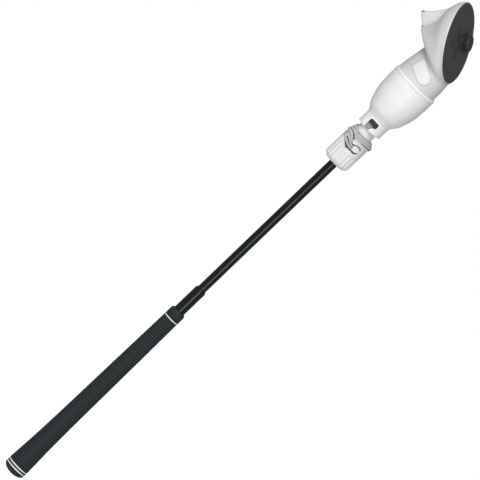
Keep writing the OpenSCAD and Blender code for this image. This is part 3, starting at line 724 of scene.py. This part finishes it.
def make_guard():
    """The grey skirt that the turns pass behind, and the hub that turns on the neck."""
    skirt = rounded([(17.9, 550.1, 0.1), (18.7, 550.1, 0.2), (18.95, 551.4, 0.5), (18.8, 552.7, 0.8),
                     (17.3, 554, 1.2), (14.9, 557.1, 0.5), (HUB_R - 0.2, 557.1, 0), (HUB_R - 0.2, 556, 0),
                     (13.9, 556, 0.5), (16.4, 553.2, 0.5), (17.9, 552.1, 0.4)])
    hub = rounded([(BEARING_R + 0.4, 525.05, 0), (HUB_R, 525.05, 0.3), (HUB_R, 556.9, 0.2),
                   (BEARING_R + 0.4, 556.9, 0.2)])
    bm = lathe_bm(skirt, 96, SKIRT_FROM, RECESS[0] - SKIRT_FROM)
    for v in bm.verts:
        # The slit that the strap can be pulled into: the skirt's lower edge stands higher there
        a = math.degrees(math.atan2(v.co.y, v.co.x))
        if v.co.z < 550.9 * MM and SKIRT_FROM - 0.5 < a < RECESS[0] + 0.5:
            v.co.z += 0.75 * MM * ease((a + 56) / 6) * ease((18 - a) / 6)
    joined(bm, lathe_bm(hub, 128))
    finish_mesh("guard_skirt", bm, "winder", "coupling_grey", ["strap_guard"], 34)


# The strap's route: angle in degrees over all its turns, height above the knob's foot, radius
STRAP_RUN = ((112, 48.6, 12.8), (180, 47.4, 13.2), (237, 46.4, 13.2), (252, 45.6, 13.1),
             (262, 42.1, 12.6), (477, 42.1, 12.6), (490, 43.2, 13.4), (540, 43.9, 14.6), (597, 43.1, 15),
             (614, 42.6, 15.2), (630, 40.3, 15.2), (820, 40.3, 15.2), (850, 39.6, 16), (900, 39.2, 16.5),
             (957, 39.2, 16.4), (972, 38.2, 16), (990, 33.2, 13.4), (1187, 33.2, 13.4), (1215, 33.8, 15.9),
             (1260, 33.8, 16.1), (1290, 33.4, 16), (1313, 31.6, 15.9), (1335, 29, 15.9), (1358, 26.8, 15.9),
             (1366, 26.5, 15.2), (1374.5, 26.5, 13.3), (1394, 26.6, 13.3))
# The second leg of the loop at its end
STRAP_LOOP = ((1294, 35.4, 15.9), (1317, 35.6, 15.9), (1326, 34.8, 15.9), (1345, 32.2, 15.9),
              (1358, 29.9, 15.9), (1366, 29.1, 15.2), (1374.5, 29, 13.3), (1394, 29, 13.3))


def line_value(run, a, part):
    """One part of the route at an angle, on straight lines between its points."""
    if a <= run[0][0]:
        return run[0][part]
    for p, q in zip(run, run[1:]):
        if a <= q[0]:
            return p[part] + (q[part] - p[part]) * (a - p[0]) / (q[0] - p[0])
    return run[-1][part]


def strap_bm(run):
    """A flat band along the run, softly curved between its points, narrower on the loop."""
    weights = [(d, math.exp(-(d / 3) ** 2)) for d in range(-6, 7, 2)]
    total = sum(w for _, w in weights)
    rings = []
    a = run[0][0]
    while a <= run[-1][0]:
        r = sum(w * line_value(run, a + d, 2) for d, w in weights) / total
        z = sum(w * line_value(run, a + d, 1) for d, w in weights) / total + KNOB_LOW
        wide = 3.8 - 0.8 * ease((a - 1285) / 20) - 0.8 * ease((a - 1335) / 20)
        ring = []
        for i in range(20):
            t = -2 * math.pi * (i + 0.5) / 20
            c, s = math.cos(t), math.sin(t)
            ring.append(turned(r + 1.1 * math.copysign(abs(c) ** 0.8, c), a,
                               z + wide / 2 * math.copysign(abs(s) ** 0.75, s)))
        rings.append(ring)
        a += 3
    return solid_of(rings)


def make_strap():
    """The wound turns with the loop at their end."""
    finish_mesh("strap_turns", joined(strap_bm(STRAP_RUN), strap_bm(STRAP_LOOP)), "winder", "strap_fabric",
                ["wrist_strap"], 60)


def make_neck():
    """The neck that the winder turns on, with the groove for its drag ring and the strap's hole."""
    foot = COLLAR_Z - 0.05
    line = rounded([(5.55, 514.3, 0), (BEARING_R, 514.3, 0.2), (BEARING_R, 520, 0), (6.8, 520, 0),
                    (6.8, 522.2, 0), (BEARING_R, 522.2, 0), (BEARING_R, NECK_Z, 0), (11.4, NECK_Z, 0.25),
                    (11.4, foot, 0), (9.5, foot, 0), (9.5, CUP_FLOOR, 0.2), (3, CUP_FLOOR, 0), (3, 540.2, 0),
                    (5.55, 540.2, 0)])
    hole = bmesh.new()
    bmesh.ops.create_cone(hole, cap_ends=True, segments=32, radius1=2 * MM, radius2=2 * MM, depth=20 * MM)
    place = (Matrix.Translation(Vector((0, 0, 562.3)) * MM) @ Matrix.Rotation(math.radians(112), 4, "Z")
             @ Matrix.Rotation(math.radians(90), 4, "Y") @ Matrix.Translation(Vector((0, 0, 10)) * MM))
    bmesh.ops.transform(hole, matrix=place, verts=hole.verts)
    finish_piece("fixed_neck", carved(lathe_bm(line, 128), [hole]), "stick", "knob_white",
                 ["neck_spindle"], 34)


# ---------------------------------------------------------------- cup
WINDOW_AT = -75
WINDOW_HALF = 6.2
WINDOW_LOW, WINDOW_TOP = 572.5, 579.6
WINDOW_FLAT = 11.8
CUP_HIGH, CUP_WALL = 70.7, 2.7
# Heights over the collar's foot, and radii
CUP_STATIONS = ((0, 16), (14, 16), (17, 17.1), (20, 19), (23.5, 21.5), (27, 23.2), (34, 25.6), (41, 27.5),
                (47, 28.5), (54, 28.95), (61, 29.3), (CUP_HIGH, 29.4))


def make_cup():
    """The cup with its collar, open at the window."""
    outer = [(15.6, COLLAR_Z), (15.9, COLLAR_Z + 0.2), (16, COLLAR_Z + 0.6)]
    heights = [1.5 + 0.5 * i for i in range(25)] + [14 + i for i in range(57)]
    outer += [(smooth_value(CUP_STATIONS, h), COLLAR_Z + h) for h in heights]
    outer += [(29.35, COLLAR_Z + CUP_HIGH - 0.3), (29.1, COLLAR_Z + CUP_HIGH)]
    inner = [(smooth_value(CUP_STATIONS, h) - CUP_WALL, COLLAR_Z + min(CUP_HIGH, h + 1.1)) for h in
             (CUP_HIGH, 66, 60, 54, 47, 41, 34, 27, 23.5, 20, 17)]
    line = outer + inner + [(11.4, 580.3), (11.4, CUP_FLOOR), (9.55, CUP_FLOOR), (9.55, COLLAR_Z)]
    half, below = WINDOW_HALF, COLLAR_Z - 1
    upper = window_pane([(-half, WINDOW_LOW, 0.2), (half, WINDOW_LOW, 2.2), (half, WINDOW_TOP, 2.4),
                         (-half, WINDOW_TOP, 2.4)])
    lower = window_pane([(-half, below, 0), (0.6, below, 0), (0.6, 569, 0.8), (3.2, 572, 0.8),
                         (3.2, WINDOW_LOW + 1, 0), (-half, WINDOW_LOW + 1, 0)])
    finish_piece("cup_shell", carved(lathe_bm(line, 192), [upper, lower]), "stick", "shell_white",
                 ["cup"], 32)


def on_window(across, up, out):
    """A point at the window: across it, up the stick, and out from the axis."""
    a = math.radians(WINDOW_AT)
    return (out * math.cos(a) - across * math.sin(a), out * math.sin(a) + across * math.cos(a), up)


def window_pane(corners):
    """What is cut from the collar for one pane of the window."""
    return prism_bm(rounded(corners, True, 6), WINDOW_FLAT, 25, on_window)


def window_plate(name, outline, reach, slot, node, edge):
    """A plate in the window, flat inside, and round outside at the radius it reaches."""
    flat = [on_window(y, z, WINDOW_FLAT + 0.1) for y, z in outline]
    front = [on_window(y, z, math.sqrt(reach ** 2 - y * y)) for y, z in outline]
    soften(finish_mesh(name, solid_of([flat, front]), "stick", slot, [node], 34), edge)


def make_window_plates():
    """The strap's black lug, whose black is partly the strap's own dark tail and partly painted shade for the
    hole behind it, and under it the metal clip.
    """
    low, high, wide = WINDOW_LOW + 1.3, WINDOW_TOP - 0.1, WINDOW_HALF - 0.1
    lug = rounded([(-wide, low, 0.3), (-3, low, 0), (0.6, low, 0.5), (1.6, low - 0.9, 0.5),
                   (3.4, low - 0.9, 0), (wide, low - 0.9, 2.2), (wide, high, 2.4), (3, high, 0), (0, high, 0),
                   (-3, high, 0), (-wide, high, 2.4)])
    # The black lug is partly painted shade: a dark plate set where the window shows the shaded hole into the
    # collar, as well as the strap's black tail
    window_plate("lug_with_painted_shade", lug, 15.2, "lug_black", "strap_lug", 0.3)
    low, side = COLLAR_Z + 0.4, 0.2 - wide
    clip = rounded([(side, low, 0.3), (-3, low, 0), (0.4, low, 0.3), (0.4, 569.2, 0.8), (3, 572.1, 0.5),
                    (3, 572.7, 0.2), (1.3, 572.7, 0.2), (0.4, 573.6, 0.3), (-3, 573.7, 0),
                    (side, 573.7, 0.3)])
    window_plate("metal_clip", clip, 14.8, "clip_metal", "strap_clip", 0.35)


def make_rim():
    """The bead round the cup's mouth."""
    line = rounded([(26, 637.5, 0), (29.0, 637.5, 0.1), (29.3, 637.9, 0.4), (29.62, 638.9, 0.8),
                    (29.55, 640.2, 0.9), (28.9, 641.3, 0.7), (27.9, 641.9, 0.3), (26, 641.9, 0)])
    lathe("rim_bead", line, "stick", "shell_white", ["rim_ring"], 192)


# ---------------------------------------------------------------- controller body
FACE_C = Vector((0.45, 0, 708.1))
FACE_TILT = math.radians(57.8)
FACE_N = Vector((math.sin(FACE_TILT), 0, math.cos(FACE_TILT)))
FACE_DOWN = Vector((math.cos(FACE_TILT), 0, -math.sin(FACE_TILT)))
FACE_R, PLATE_T = 46.7, 2.4
AT_FACE = Matrix.Translation(FACE_C * MM) @ Matrix.Rotation(FACE_TILT, 4, "Y")
TRIGGER_P = Vector((-22.5, 0, 731))
TRIGGER_R = 43.7
TRIGGER_AT = (TRIGGER_P.x, TRIGGER_P.z)
WALL = 2.4


def rim_section(depth):
    """The body's section under the face's rim, this deep under the face."""
    c, r = FACE_C - FACE_N * depth, FACE_R + 0.9
    a, b = c - FACE_DOWN * r, c + FACE_DOWN * r
    return (a.x, a.z, b.x, b.z, r, 0)


# Each section: x and z of its back and of its front, half its width, and how the width leans to the front
BODY_SECTIONS = (
    (-28.2, 642, 27.1, 642, 27.7, 0), (-27.05, 653, 27, 651, 26.8, 0), (-25.2, 664, 26.6, 658.5, 26.4, 0),
    (-23.7, 674, 26.3, 661.2, 26.2, 0), (-23.5, 682.2, 26, 662.3, 26.2, 0.05),
    (-27.6, 688.4, 25.7, 663.2, 27.2, 0.16), (-35.9, 690.2, 25.4, 663.8, 29.5, 0.2),
    (-44.4, 691, 25.1, 664.3, 32.4, 0.2), (-41.6, 694, 24.9, 664.7, 35.5, 0.15),
    (-38, 700, 24.7, 665, 38, 0.13), (-35, 709, 24.5, 665.3, 40.3, 0.1),
    (-34.6, 719, 24.3, 665.6, 42.5, 0.08), (-34.8, 730, 24.1, 665.9, 44.6, 0.05),
    (-31.6, 741, 23.9, 666.2, 46.4, 0.02), rim_section(PLATE_T + 0.1))


def section_at(k):
    """A body section between the listed ones, on a smooth line through them."""
    s = BODY_SECTIONS
    i = min(int(k), len(s) - 2)
    t = k - i
    out = []
    for j in range(6):
        a, b = s[i][j], s[i + 1][j]
        leave = (b - s[max(i - 1, 0)][j]) / 2 * 0.8
        arrive = (s[min(i + 2, len(s) - 1)][j] - a) / 2 * 0.8
        out.append(cubic(t, a, b, leave, arrive))
    return out


def section_ring(s, inset, count=128):
    """The points round a section, or round its inside when it is inset."""
    a, b = Vector((s[0], 0, s[1])), Vector((s[2], 0, s[3]))
    half = (b - a).length / 2
    way = (b - a).normalized()
    mid = (a + b) / 2
    ring = []
    for i in range(count):
        t = 2 * math.pi * i / count
        p = mid + way * (half - inset) * math.cos(t)
        ring.append((p.x, (s[4] - inset) * math.sin(t) * (1 + s[5] * math.cos(t)), p.z))
    return ring


def from_side(x, z, y):
    """A point given as the side view shows it, and how far it lies across."""
    return (x, y, z)


def trigger_space():
    """Everything the trigger may swing in, opened through the back of the body."""
    wall_x = -20
    sweep = [179.2 + (300 - 179.2) * i / 60 for i in range(61)]
    arc = [p for p in arc_points(TRIGGER_R + 0.7, sweep, TRIGGER_AT) if p[0] <= wall_x]
    outline = arc + [(wall_x, arc[-1][1]), (wall_x, 725), (-30, 731.6)]
    return prism_bm(outline, -11.5, 11.5, from_side)


def hull(points):
    """The convex outline of points, anticlockwise."""
    points = sorted(set(points))

    def half(seq):
        out = []
        for p in seq:
            while len(out) > 1 and ((out[-1][0] - out[-2][0]) * (p[1] - out[-2][1])
                                    - (out[-1][1] - out[-2][1]) * (p[0] - out[-2][0])) <= 0:
                out.pop()
            out.append(p)
        return out[:-1]
    return half(points) + half(points[::-1])


def resampled(outline, count):
    """The closed outline as count points, evenly spaced."""
    pts = [Vector(p) for p in outline] + [Vector(outline[0])]
    lengths = [0]
    for a, b in zip(pts, pts[1:]):
        lengths.append(lengths[-1] + (b - a).length)
    out, k = [], 0
    for i in range(count):
        want = lengths[-1] * i / count
        while lengths[k + 1] < want:
            k += 1
        t = (want - lengths[k]) / (lengths[k + 1] - lengths[k])
        out.append(tuple(pts[k].lerp(pts[k + 1], t)))
    return out


def button_outline(grow):
    """The grip button's D shape seen from the side, in x and z."""
    points = []
    for x, z, r in ((-11.0, 654.6, 1.0), (-7.0, 670.0, 1.0), (9.6, 654.2, 7.6)):
        points += arc_points(r + grow, range(0, 360, 5), (x, z))
    return resampled(hull(points), 112)


def make_body():
    """The hollow body, open under the face, at the trigger and round the grip button."""
    last = len(BODY_SECTIONS) - 1
    bm = solid_of([section_ring(section_at(i / 6), 0) for i in range(last * 6 + 1)])
    bmesh.ops.recalc_face_normals(bm, faces=bm.faces)
    tree = BVHTree.FromBMesh(bm)
    foot = BODY_SECTIONS[0]
    below = (foot[0], foot[1] - 1, foot[2], foot[3] - 1, foot[4], 0)
    hollow = [section_ring(below, WALL, 64)]
    hollow += [section_ring(section_at(i / 2), WALL, 64) for i in range(2 * last + 1)]
    hollow.append(section_ring(rim_section(-1), WALL, 64))
    gap = prism_bm(button_outline(0.3), -14, -44, from_side)
    mesh = carved(bm, [solid_of(hollow), trigger_space(), gap])
    finish_piece("body_skin", mesh, "stick", "body_white", ["body_shell"], 30)
    make_grip_button(tree)


def make_grip_button(tree):
    """The button follows the body's skin, a little proud of it, with a rounded edge."""
    outline = button_outline(0)
    mid = Vector((sum(p[0] for p in outline), sum(p[1] for p in outline))) / len(outline)

    def skin(x, z):
        hit, _, _, _ = tree.ray_cast(Vector((x, -80, z)) * MM, Vector((0, 1, 0)))
        return hit.y / MM

    def ring(share, trim, rise):
        """The outline drawn in to a share of itself, trimmed, and raised off the skin."""
        out = []
        for p in outline:
            q = Vector(p)
            q = mid + (q - mid) * share - (q - mid).normalized() * trim
            out.append((q.x, skin(q.x, q.y) - rise, q.y))
        return out

    rings = [[(x, y + 3, z) for x, y, z in ring(1, 0.4, 0)]]
    rings += [ring(1, trim, rise) for trim, rise in ((0, -2.6), (0, -0.1), (0.08, 0.2), (0.26, 0.42),
                                                     (0.55, 0.56), (1, 0.64))]
    rings += [ring(k, k, 0.68) for k in (0.9, 0.8, 0.7, 0.6, 0.5, 0.4, 0.3, 0.2, 0.1, 0.04)]
    finish_mesh("grip_key", solid_of(rings), "grip_button", "button_white", ["grip_button"], 40)


# ---------------------------------------------------------------- face
STICK_AT, STICK_PIVOT = (-3.5, 18), -7
# The keys: piece, body and node, place on the face, radius
KEYS = (("upper_key", "upper_button", (-12.5, -7), 5.4), ("lower_key", "lower_button", (12.5, -3), 5.4),
        ("menu_key", "menu_button", (4, -24), 3.0))


def on_face(at, rise=0):
    """The place of something that stands on the face."""
    return AT_FACE @ Matrix.Translation(Vector((*at, rise)) * MM)


def make_face():
    """The white rim, and the black face with its faint ring, the stick's well and the keys' holes."""
    rim = rounded([(FACE_R + 0.1, -PLATE_T, 0), (FACE_R + 1, -PLATE_T, 0), (FACE_R + 1.08, -1.6, 0.3),
                   (FACE_R + 0.85, -0.9, 0.25), (FACE_R + 0.1, -0.9, 0.1)])
    lathe("white_rim", rim, "stick", "body_white", ["face_rim"], 192, AT_FACE)
    line = rounded([(0, -PLATE_T, 0), (FACE_R, -PLATE_T, 0), (FACE_R, 0, 0.7), (39.2, 0, 0),
                    (39.05, -0.18, 0), (38.75, -0.18, 0), (38.6, 0, 0), (0.001, 0, 0)], True, 6)
    well = rounded([(0, -3.2, 0), (9.0, -3.2, 0), (9.9, -PLATE_T, 0.5), (13.0, -0.3, 0.6), (14.2, 0.8, 0),
                    (0, 0.8, 0)])
    cutters = [lathe_bm(well, 96, place=on_face(STICK_AT))]
    for _, _, at, r in KEYS:
        hole = [(0, -3), (r + 0.3, -3), (r + 0.3, 1), (0, 1)]
        cutters.append(lathe_bm(hole, 64, place=on_face(at)))
    finish_piece("round_face", carved(lathe_bm(line, 192, place=AT_FACE), cutters), "stick", "face_black",
                 ["face_plate"], 30)


def make_keys():
    """Slightly domed keys with a stem and a flange under the face."""
    edge = 0.35
    for name, body, at, r in KEYS:
        line = [(0, -13), (1.6, -13), (1.6, -4.6), (r + 1, -4.6), (r + 1, -3.4), (r, -3.4), (r, edge)]
        line += arc_points(edge, (30, 60, 90), (r - edge, edge))
        line += [((r - edge) * k, 0.7 + 0.25 * (1 - k * k)) for k in (0.9, 0.75, 0.5, 0.25, 0)]
        lathe(name, line, body, "control_black", [body], 72, on_face(at))


def make_thumbstick():
    """Stem, dome and knurled cap, turned about the pivot that they tilt on."""
    dome, inner, knurl_r = 9.3, 8.3, 9.7
    line = [(0, -2.8), (2.4, -2.8), (2.4, 7.94)]
    line += [(inner * math.sin(math.radians(t)), inner * math.cos(math.radians(t)))
             for t in (25, 35, 45, 55, 65, 71.5)]
    line += [(dome * math.sin(math.radians(t)), dome * math.cos(math.radians(t)))
             for t in (73.5, 68, 60, 52, 44, 36, 28, 21)]
    line += [(2.9, 9.6), (2.9, 11), (3.4, 11.6), (4.6, 12), (8.6, 12), (9.6, 12.25), (9.95, 12.7), (10, 13.2),
             (10, 13.9), (9.85, 14.5), (9.4, 14.9), (8.8, 15), (8, 14.75), (7, 14.35), (5.5, 14.08),
             (3, 13.95), (0, 13.9)]
    bm = lathe_bm(line, 120)
    for v in bm.verts:
        if v.co.xy.length > knurl_r * MM and round(math.degrees(math.atan2(v.co.y, v.co.x)) / 3) % 2:
            v.co.xy *= 0.982
    bmesh.ops.transform(bm, matrix=on_face(STICK_AT, STICK_PIVOT), verts=bm.verts)
    finish_mesh("stick_cap", bm, "thumbstick", "control_black", ["thumbstick"], 40)


# ---------------------------------------------------------------- trigger
def trigger_rod(r_in, r_out, y0, y1):
    """A rod or tube on the trigger's pin."""
    place = (Matrix.Translation((TRIGGER_P + Vector((0, y1, 0))) * MM)
             @ Matrix.Rotation(math.radians(90), 4, "X"))
    return lathe_bm([(r_in, 0), (r_out, 0), (r_out, y1 - y0), (r_in, y1 - y0)], 48, place=place)


def make_trigger():
    """The trigger: dished for the finger, round behind, crowned at both sides, on a barrel."""
    dish = [(-33.4, 730.8), (-34.7, 728.1), (-36.3, 725.4), (-38.6, 721.4), (-41.2, 717.6), (-44.1, 713.8),
            (-47.2, 710.2), (-51.3, 706.4)]
    dish += rounded([(-51.3, 706.4, 0), (-55.9, 702.9, 0.5), (-54.6, 701.5, 0)], False, 4)[1:-1]
    back = arc_points(TRIGGER_R, [222.2 + (257.4 - 222.2) * i / 24 for i in range(25)], TRIGGER_AT)
    inner = [(-32.4, 695), (-33, 705), (-31, 720), (-24, 727.7), (-22.5, 730.8)]
    outline = [Vector(q) for q in dish + back + inner]
    # The way in from each point. It fades out at both ends of what is seen: the rest isn't crowned
    last_seen = len(dish + back) - 1
    inward = []
    for i in range(len(outline)):
        along = (outline[(i + 1) % len(outline)] - outline[i - 1]).normalized()
        inward.append(Vector((-along.y, along.x)) * min(1, i / 3, max(0, (last_seen - i) / 3)))
    crown = ((11, 2.2), (10.8, 1.5), (10.3, 0.85), (9.4, 0.3), (8.2, 0))
    bands = [(-y, fall) for y, fall in crown] + [(y, fall) for y, fall in crown[::-1]]
    body = solid_of([[(q.x + d.x * fall, y, q.y + d.y * fall) for q, d in zip(outline, inward)]
                     for y, fall in bands])
    barrel = (3.4, -6.5, 6.5)
    mesh = carved(body, [trigger_rod(0, *barrel), trigger_rod(0, 4.2, 6.5, 12.5),
                         trigger_rod(0, 4.2, -12.5, -6.5)])
    bm = bmesh.new()
    bm.from_mesh(mesh)
    joined(bm, trigger_rod(1.3, *barrel))
    soften(finish_mesh("finger_trigger", bm, "trigger", "body_white", ["trigger"], 50), 0.5, 50)


# ---------------------------------------------------------------- the scene
MATERIALS = make_materials()
SLOT_OF = {p["node"]: p["material_slot"] for p in frame["record"]["subparts"]}


def dress_cad_nodes():
    """Every CAD node takes its slot's material, shown or not."""
    for name, node in frame["nodes"].items():
        node.data.materials.clear()
        node.data.materials.append(MATERIALS[SLOT_OF[name]])
        node.data.shade_smooth()
        node.data.set_sharp_from_angle(angle=math.radians(34))


dress_cad_nodes()
make_camera()
make_world()
make_lamp("key", (0.785, -0.2, 0.588), (1, 1), 42)
make_lamp("strip", (0.93, 0.28, -0.235), (0.9, 1.5), 17)

make_grip()
make_grip_sleeve()
make_shaft()
make_knob()
make_guard()
make_strap()
make_neck()
make_cup()
make_window_plates()
make_rim()
make_body()
make_face()
make_keys()
make_thumbstick()
make_trigger()
make_floor()
bpy.context.scene.view_settings.view_transform = "Standard"
